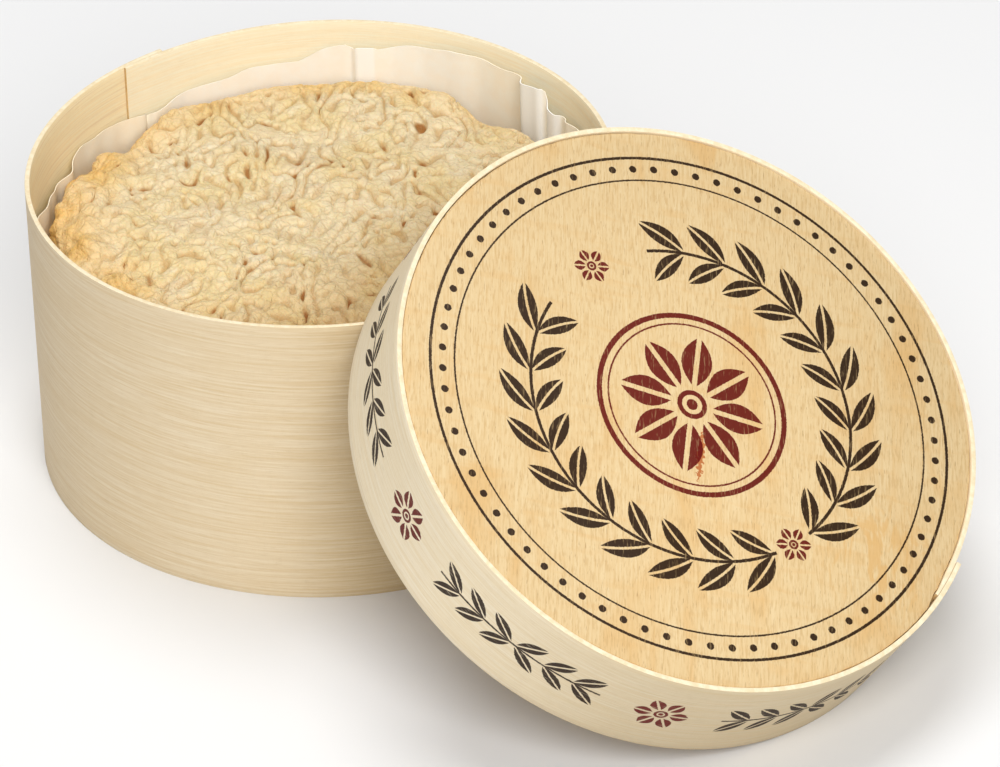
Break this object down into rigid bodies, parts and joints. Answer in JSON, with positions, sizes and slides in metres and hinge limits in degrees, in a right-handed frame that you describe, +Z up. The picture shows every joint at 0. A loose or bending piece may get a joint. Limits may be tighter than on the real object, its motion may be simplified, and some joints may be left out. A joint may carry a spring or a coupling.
{
  "type": "washed-rind cheese in its round veneer box",
  "caption": "Wrinkled washed-rind cheese sitting in a pleated paper liner inside its round wood-veneer box, with the lid leaning on the rim.",
  "frame": {"origin": "middle of the box's underside, on the surface that the box stands on", "axes": "+Z up along the box's axis, +X horizontally from the box's axis towards the leaning lid"},
  "size_m": [0.174, 0.0982, 0.074],
  "materials": {
    "band_veneer": "bare pale veneer with fine fibres along the band",
    "disc_veneer": "bare golden veneer, sanded, with printed ornaments on the lid",
    "paper": "thin creamy wrapping paper, matt",
    "rind": "moist wrinkled rind, cream with orange-yellow shoulders"
  },
  "bodies": {
    "root": {"box_band": "band_veneer", "box_bottom": "disc_veneer", "paper_liner": "paper", "cheese": "rind", "lid_band": "band_veneer", "lid_disc": "disc_veneer"}
  },
  "joints": []
}
